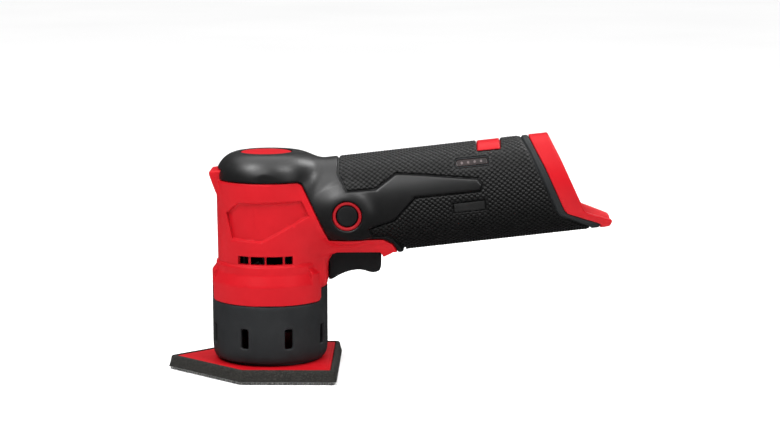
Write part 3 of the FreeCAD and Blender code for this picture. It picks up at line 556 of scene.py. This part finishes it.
def mesh_of(name, shape, low, high, step, side=LEFT, adapt=0.03, mirrored=False):
    """The mesh of shape inside a block; mirrored shapes count y outwards from the seam."""
    step = step * COARSE
    low = np.array(low, dtype=float) - 2 * step
    counts = [int((b - a) / step) + 4 for a, b in zip(low, high)]
    x, y, z = [(low[i] + step * np.arange(counts[i], dtype=np.float32)).astype(np.float32)
               for i in range(3)]
    values = shape(x[:, None, None], y[None, :, None], z[None, None, :], side)
    values = np.clip(np.broadcast_to(values, counts), -4 * step, 4 * step).astype(np.float32)
    for axis in range(3):
        edge = np.moveaxis(values, axis, 0)
        edge[0], edge[-1] = 4 * step, 4 * step
    grid = openvdb.FloatGrid(4 * step)
    grid.copyFromArray(values)
    points, triangles, quads = grid.convertToPolygons(0.0, adapt)
    reach = 0.6
    slope = np.stack([sample(values, points + reach * axis) - sample(values, points - reach * axis)
                      for axis in np.eye(3)], axis=1)
    slope /= np.maximum(np.linalg.norm(slope, axis=1, keepdims=True), 1e-9)
    places = points * step + low
    flip = mirrored and side == LEFT
    if mirrored:
        places[:, 1] *= side
        slope[:, 1] *= side
    order = slice(None, None, -1) if flip else slice(None)
    faces = [tuple(int(i) for i in f[order]) for f in triangles]
    faces += [tuple(int(i) for i in f[order]) for f in quads]
    mesh = bpy.data.meshes.new(name)
    mesh.from_pydata((places * MM).tolist(), [], faces)
    mesh.polygons.foreach_set("use_smooth", [True] * len(mesh.polygons))
    mesh.normals_split_custom_set_from_vertices(slope.tolist())
    mesh.update()
    piece = bpy.data.objects.new(name, mesh)
    bpy.context.scene.collection.objects.link(piece)
    return piece


def add(name, shape, low, high, step, material, slot, nodes, rides="housing", side=LEFT,
        mirrored=True, adapt=0.03):
    """Builds one piece, dresses it and puts it in the place of its CAD nodes."""
    piece = mesh_of(name, shape, low, high, step, side, adapt, mirrored)
    piece.data.materials.append(material)
    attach(piece, rides)
    if nodes:
        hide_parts(*nodes)
    return piece


# ---- materials ----------------------------------------------------------------------------
def new_material(name):
    material = bpy.data.materials.new(name)
    material.use_nodes = True
    return material, material.node_tree.nodes, material.node_tree.links


def noise(nodes, links, size_mm, detail=3.0, rough=0.5):
    """Noise whose blotches are about size_mm across."""
    where = nodes.new("ShaderNodeTexCoord")
    texture = nodes.new("ShaderNodeTexNoise")
    texture.inputs["Scale"].default_value = 1.0 / (size_mm * MM)
    texture.inputs["Detail"].default_value = detail
    texture.inputs["Roughness"].default_value = rough
    links.new(where.outputs["Object"], texture.inputs["Vector"])
    return texture.outputs["Fac"]


def ramp(nodes, links, value, stops):
    """A colour ramp; stops are (place, colour)."""
    node = nodes.new("ShaderNodeValToRGB")
    for element, (place, colour) in zip(node.color_ramp.elements, (stops[0], stops[-1])):
        element.position, element.color = place, (*colour, 1)
    for place, colour in stops[1:-1]:
        node.color_ramp.elements.new(place).color = (*colour, 1)
    links.new(value, node.inputs["Fac"])
    return node.outputs["Color"]


def spread(nodes, links, value, low, high):
    """Maps noise's middle range to low..high."""
    node = nodes.new("ShaderNodeMapRange")
    node.inputs["From Min"].default_value = 0.3
    node.inputs["From Max"].default_value = 0.7
    node.inputs["To Min"].default_value = low
    node.inputs["To Max"].default_value = high
    links.new(value, node.inputs["Value"])
    return node.outputs["Result"]


def bump(nodes, links, value, height_mm, before=None):
    node = nodes.new("ShaderNodeBump")
    node.inputs["Distance"].default_value = height_mm * MM
    node.inputs["Strength"].default_value = 1.0
    links.new(value, node.inputs["Height"])
    if before is not None:
        links.new(before, node.inputs["Normal"])
    return node.outputs["Normal"]


def moulded(name, dark, light, rough, grain_mm, grain_height, patch_mm=18.0, specular=0.25):
    """Moulded plastic or rubber: faint tone patches, spark-eroded grain and uneven gloss."""
    material, nodes, links = new_material(name)
    shader = nodes["Principled BSDF"]
    shader.inputs["Specular IOR Level"].default_value = specular
    patches = noise(nodes, links, patch_mm, 4.0, 0.6)
    links.new(ramp(nodes, links, patches, [(0.3, dark), (0.7, light)]), shader.inputs["Base Color"])
    handled = noise(nodes, links, patch_mm * 0.4, 5.0, 0.65)
    links.new(spread(nodes, links, handled, *rough), shader.inputs["Roughness"])
    grain = bump(nodes, links, noise(nodes, links, grain_mm, 2.0), grain_height)
    links.new(grain, shader.inputs["Normal"])
    return material


def metal(name, dark, light, rough, streak=1.0):
    """Machined metal with fine turning marks."""
    material, nodes, links = new_material(name)
    shader = nodes["Principled BSDF"]
    shader.inputs["Metallic"].default_value = 1.0
    links.new(ramp(nodes, links, noise(nodes, links, 3.0), [(0.3, dark), (0.7, light)]),
              shader.inputs["Base Color"])
    links.new(spread(nodes, links, noise(nodes, links, 0.6), *rough), shader.inputs["Roughness"])
    links.new(bump(nodes, links, noise(nodes, links, 0.15 * streak), 0.006), shader.inputs["Normal"])
    return material


def math_node(nodes, links, operation, *values):
    """One arithmetic step; values are sockets or numbers."""
    node = nodes.new("ShaderNodeMath")
    node.operation = operation
    for place, value in enumerate(values):
        if isinstance(value, (int, float)):
            node.inputs[place].default_value = value
        else:
            links.new(value, node.inputs[place])
    return node.outputs[0]


def scaled_rubber():
    """Matt rubber with overlapping lozenges that follow the handle round, with painted shade in the
    grooves between them.
    """
    material, nodes, links = new_material("grip_rubber")
    shader = nodes["Principled BSDF"]
    shader.inputs["Specular IOR Level"].default_value = 0.22

    def step(operation, *values):
        return math_node(nodes, links, operation, *values)

    where = nodes.new("ShaderNodeTexCoord")
    split = nodes.new("ShaderNodeSeparateXYZ")
    links.new(where.outputs["Object"], split.inputs["Vector"])
    x = step("SUBTRACT", split.outputs["X"], AXIS_X * MM)
    z = step("SUBTRACT", split.outputs["Z"], AXIS_Z * MM)
    c, s = math.cos(TILT), math.sin(TILT)
    along = step("ADD", step("MULTIPLY", x, c), step("MULTIPLY", z, s))
    up = step("SUBTRACT", step("MULTIPLY", z, c), step("MULTIPLY", x, s))
    turn = step("ARCTAN2", step("ABSOLUTE", split.outputs["Y"]), up)
    lengths = step("MULTIPLY", along, 1 / (SCALE_PITCH * MM))
    turns = step("MULTIPLY", turn, GRIP_R / SCALE_ROW)
    fa = step("FRACT", step("ADD", lengths, turns))
    fb = step("FRACT", step("SUBTRACT", lengths, turns))
    far_along = step("POWER", step("ABSOLUTE", step("SUBTRACT", step("ADD", fa, fb), 1)), 2)
    far_across = step("POWER", step("ABSOLUTE", step("SUBTRACT", fa, fb)), 2)
    reach = step("MULTIPLY", step("ADD", far_along, far_across), 1 / SCALE_FILL)
    height = step("POWER", step("MAXIMUM", step("SUBTRACT", 1, reach), 0), 0.7)
    # painted shade: the colour darkens from the top of each lozenge down into the grooves between them
    tone = ramp(nodes, links, height,
                [(0.05, (0.0012, 0.0012, 0.0012)), (0.75, (0.0058, 0.0058, 0.0058))])
    links.new(tone, shader.inputs["Base Color"])
    links.new(spread(nodes, links, noise(nodes, links, 3.0), 0.42, 0.56), shader.inputs["Roughness"])
    relief = bump(nodes, links, height, 0.28)
    links.new(bump(nodes, links, noise(nodes, links, 0.3), 0.012, relief), shader.inputs["Normal"])
    return material


def foam_material():
    """Open-cell foam: pitted and matt, with painted shade in its pits that leaves the high spots
    lighter.
    """
    material, nodes, links = new_material("foam")
    shader = nodes["Principled BSDF"]
    shader.inputs["Specular IOR Level"].default_value = 0.25
    cells = nodes.new("ShaderNodeTexVoronoi")
    cells.inputs["Scale"].default_value = 1.0 / (0.55 * MM)
    where = nodes.new("ShaderNodeTexCoord")
    links.new(where.outputs["Object"], cells.inputs["Vector"])
    # painted shade: the foam's colour darkens into each pit and lightens on the ridges between them
    tone = ramp(nodes, links, cells.outputs["Distance"],
                [(0.05, (0.004, 0.004, 0.0035)), (0.45, (0.012, 0.0115, 0.0100)),
                 (0.9, (0.032, 0.030, 0.027))])
    links.new(tone, shader.inputs["Base Color"])
    links.new(spread(nodes, links, noise(nodes, links, 2.0), 0.85, 1.0), shader.inputs["Roughness"])
    pits = bump(nodes, links, cells.outputs["Distance"], 0.22)
    links.new(bump(nodes, links, noise(nodes, links, 1.6), 0.10, pits), shader.inputs["Normal"])
    return material


def two_tone(name, level_mm, below, above):
    """Plastic that changes colour at a height, as the platen's rim and hub do."""
    material, nodes, links = new_material(name)
    shader = nodes["Principled BSDF"]
    where = nodes.new("ShaderNodeTexCoord")
    split = nodes.new("ShaderNodeSeparateXYZ")
    links.new(where.outputs["Object"], split.inputs["Vector"])
    height = nodes.new("ShaderNodeMapRange")
    height.inputs["From Min"].default_value = (level_mm - 0.2) * MM
    height.inputs["From Max"].default_value = (level_mm + 0.2) * MM
    links.new(split.outputs["Z"], height.inputs["Value"])
    links.new(ramp(nodes, links, height.outputs["Result"], [(0.2, below), (0.8, above)]),
              shader.inputs["Base Color"])
    links.new(spread(nodes, links, noise(nodes, links, 4.0), 0.4, 0.6), shader.inputs["Roughness"])
    links.new(bump(nodes, links, noise(nodes, links, 0.4), 0.01), shader.inputs["Normal"])
    return material


red = moulded("red_shell", (0.350, 0.0028, 0.0068), (0.395, 0.0042, 0.0088), (0.42, 0.54), 0.35,
              0.010, specular=0.12)
red_gloss = moulded("red_gloss", (0.355, 0.004, 0.008), (0.395, 0.005, 0.010), (0.34, 0.44), 0.6,
                    0.003, specular=0.12)
# painted shade: a darker copy of the housing red, for the ring that sits sunk round the lock button
red_ring = moulded("red_ring", (0.210, 0.003, 0.006), (0.270, 0.004, 0.008), (0.40, 0.55), 0.5, 0.01,
                   specular=0.15)
cap_rubber = moulded("soft_rubber", (0.0032, 0.0032, 0.0034), (0.0052, 0.0052, 0.0054), (0.36, 0.42),
                     0.25, 0.006, specular=0.40)
grip_rubber = scaled_rubber()
badge_rubber = moulded("badge_rubber", (0.009, 0.009, 0.009), (0.013, 0.013, 0.013), (0.45, 0.6),
                       0.25, 0.012)
dark_plastic = moulded("dark_plastic", (0.013, 0.014, 0.015), (0.018, 0.019, 0.020), (0.44, 0.54),
                       0.30, 0.010, specular=0.12)
trigger_plastic = moulded("trigger_plastic", (0.006, 0.006, 0.0065), (0.009, 0.009, 0.0095),
                          (0.42, 0.54), 0.3, 0.012, specular=0.12)
platen_plastic = two_tone("platen", 10.5, (0.008, 0.008, 0.009), (0.16, 0.004, 0.006))
smoked = moulded("smoked_lens", (0.010, 0.008, 0.008), (0.020, 0.012, 0.012), (0.16, 0.26), 0.8, 0.002)
dot_grey = moulded("lamp_window", (0.075, 0.060, 0.060), (0.110, 0.085, 0.085), (0.3, 0.4), 0.4, 0.004)
hook_pile = moulded("hook_pile", (0.12, 0.12, 0.115), (0.20, 0.20, 0.19), (0.6, 0.8), 0.4, 0.02)
elastomer = moulded("elastomer", (0.015, 0.015, 0.015), (0.022, 0.022, 0.022), (0.6, 0.8), 0.4, 0.02)
board_green = moulded("circuit_board", (0.008, 0.060, 0.025), (0.015, 0.100, 0.040), (0.25, 0.4),
                      1.2, 0.01)
potting = moulded("potting", (0.012, 0.012, 0.014), (0.022, 0.022, 0.025), (0.3, 0.5), 2.5, 0.03)
insulation = moulded("lead_insulation", (0.02, 0.02, 0.022), (0.035, 0.035, 0.038), (0.35, 0.5), 0.5,
                     0.006)
foam = foam_material()
steel = metal("steel", (0.42, 0.43, 0.45), (0.60, 0.61, 0.63), (0.22, 0.38))
black_steel = metal("screw_steel", (0.07, 0.07, 0.075), (0.13, 0.13, 0.135), (0.30, 0.45))
copper = metal("copper", (0.52, 0.20, 0.09), (0.70, 0.32, 0.16), (0.25, 0.4), 2.0)
brass = metal("contact_metal", (0.60, 0.45, 0.22), (0.78, 0.64, 0.36), (0.22, 0.34))
cast = metal("carrier_alloy", (0.42, 0.43, 0.44), (0.56, 0.57, 0.58), (0.4, 0.6), 4.0)

CAD_LOOKS = {
    "steel": steel, "screw_steel": black_steel, "spring_steel": steel, "copper": copper,
    "contact_metal": brass, "carrier_alloy": cast, "fan_plastic": trigger_plastic,
    "circuit_board": board_green, "module_case": potting, "lead_insulation": insulation,
    "lamp": dot_grey, "clear_lens": smoked, "elastomer": elastomer, "platen_plastic": platen_plastic,
    "dark_plastic": dark_plastic, "red_plastic": red, "red_label": red_gloss,
    "soft_rubber": cap_rubber, "grip_rubber": grip_rubber, "foam": foam, "hook": hook_pile}


def dress_cad_nodes():
    """Gives every carried-over CAD node its material."""
    for part in frame["record"]["subparts"]:
        node = frame["nodes"][part["node"]]
        node.data.materials.clear()
        node.data.materials.append(CAD_LOOKS[part["material_slot"]])


dress_cad_nodes()


# ---- the pieces ---------------------------------------------------------------------------
for side, word in ((LEFT, "left"), (RIGHT, "right")):
    add(f"{word}_shell", housing, (-33, 0, 39), (178, 32.5, 128), 0.5, red, "red_plastic",
        [f"{word}_housing"], side=side)
    add(f"{word}_cap", cap_skin, (-30, 0, 62), (118, 27, 122), 0.5, cap_rubber, "soft_rubber",
        [f"{word}_cap_skin"], side=side)
    add(f"{word}_grip_skin", grip, (35, 0, 62), (174, 25, 131), 0.42, grip_rubber, "grip_rubber",
        [f"{word}_grip"], side=side, adapt=0.004)
WHOLE = dict(mirrored=False)
add("rear_trim", trim_ring, (130, -25, 72), (178, 25, 131), 0.5, dark_plastic, "dark_plastic",
    ["trim_ring"], **WHOLE)
add("battery_collar", rear_collar, (136, -25, 72), (184, 25, 132), 0.5, red, "red_plastic",
    ["rear_collar"], **WHOLE)
add("shroud", shroud, (-32, -32, 8), (32, 32, 48), 0.5, dark_plastic, "dark_plastic",
    ["dust_shroud"], **WHOLE)
add("trigger_paddle", trigger, (31, -9, 50), (61, 9, 68), 0.4, trigger_plastic, "dark_plastic",
    ["trigger"], rides="trigger", **WHOLE)
add("button_face", lock_button, (36, 18, 80), (49, 27, 94), 0.3, trigger_plastic, "dark_plastic",
    ["lock_button"], rides="lock_button")
add("button_ring", button_bezel, (34, 18, 79), (51, 27, 96), 0.3, red_ring, "red_plastic",
    ["button_bezel"])
add("top_disc", top_disc, (-17, -15, 118), (14, 15, 121), 0.4, red_gloss, "red_label",
    ["top_medallion"], **WHOLE)
add("rating_plate", rating_plate, (109, -17, 119), (125, 17, 131), 0.4, red_gloss, "red_label",
    ["blank_rating_plate"], **WHOLE)
for side, word in ((LEFT, "left"), (RIGHT, "right")):
    add(f"side_badge_{word}", side_badge, (96, 18, 87), (117, 25, 97), 0.35, badge_rubber,
        "dark_plastic", ["blank_badges"], side=side)
add("gauge_window", gauge_lens, (98, 8, 111), (118, 20, 119.5), 0.3, smoked, "clear_lens",
    ["gauge_lens"])
add("gauge_rim", gauge_rim, (98, 8, 111), (118, 20, 119.5), 0.25, dark_plastic, "dark_plastic", [])
add("gauge_dots", gauge_dots, (98, 8, 111), (118, 20, 119.5), 0.25, dot_grey, "lamp", [])
cushion = add("foam", foam_pad, (-56, -40, 0), (38.5, 40, 8), 0.5, foam, "foam", ["foam_pad"],
              rides="pad", **WHOLE)
add("pad_top_plate", pad_plate, (-52, -37, 4.5), (35, 37, 8), 0.5, red, "red_plastic",
    ["pad_plate"], rides="pad", **WHOLE)
hook_sheet()


# ---- camera, floor, light -----------------------------------------------------------------
def make_camera():
    """A long lens on the tool's left, a little above it."""
    data = bpy.data.cameras.new("camera")
    camera = bpy.data.objects.new("camera", data)
    bpy.context.scene.collection.objects.link(camera)
    data.sensor_width, data.lens = 36.0, 97.6726
    data.clip_start, data.clip_end = 0.05, 20.0
    data.dof.use_dof = False
    down, turn = math.radians(8.91), math.radians(0.81)
    camera.location = (0.0805, -1.12126, 0.25773)
    camera.rotation_euler = (math.pi / 2 - down, 0, turn)
    bpy.context.scene.camera = camera


def make_floor():
    bpy.ops.mesh.primitive_plane_add(size=12)
    floor = bpy.context.object
    floor.name = "floor"
    floor.location.z = -0.0005
    floor.visible_glossy = False
    material, nodes, links = new_material("floor")
    shader = nodes["Principled BSDF"]
    links.new(ramp(nodes, links, noise(nodes, links, 400.0), [(0.3, (0.93, 0.93, 0.93)),
                                                            (0.7, (0.96, 0.96, 0.96))]),
              shader.inputs["Base Color"])
    shader.inputs["Roughness"].default_value = 0.9
    floor.data.materials.append(material)


def area_light(name, place, target, size, power):
    data = bpy.data.lights.new(name, "AREA")
    data.shape = "RECTANGLE"
    data.size, data.size_y = size
    data.energy = power
    light = bpy.data.objects.new(name, data)
    bpy.context.scene.collection.objects.link(light)
    light.location = place
    direction = np.array(target) - np.array(place)
    flat = math.hypot(direction[0], direction[1])
    light.rotation_euler = (math.atan2(flat, -direction[2]), 0,
                            math.atan2(direction[1], direction[0]) - math.pi / 2)


def make_light():
    world = bpy.data.worlds.new("studio")
    bpy.context.scene.world = world
    world.use_nodes = True
    world.node_tree.nodes["Background"].inputs["Color"].default_value = (1.0, 1.0, 1.0, 1)
    world.node_tree.nodes["Background"].inputs["Strength"].default_value = 0.08
    middle = (0.02, 0, 0.10)
    area_light("front_box", (-0.45, -1.0, 1.05), middle, (0.9, 0.6), 10.5)
    area_light("side_box", (1.0, -0.9, 0.5), middle, (0.5, 0.8), 3.0)
    area_light("top_left", (-0.47, -0.33, 0.90), middle, (0.34, 0.34), 6.5)
    area_light("top_right", (0.52, -0.42, 0.86), middle, (0.34, 0.34), 5.5)
    area_light("top_back", (0.62, 0.47, 0.77), middle, (0.3, 0.3), 4.2)
    sky = bpy.data.objects.new("sky", bpy.data.lights.new("sky", "SUN"))
    sky.data.energy = 3.05
    sky.data.angle = math.radians(80)
    sky.rotation_euler = (math.radians(-8), 0, 0)
    bpy.context.scene.collection.objects.link(sky)


make_camera()
make_floor()
make_light()
bpy.context.scene.view_settings.view_transform = "Standard"
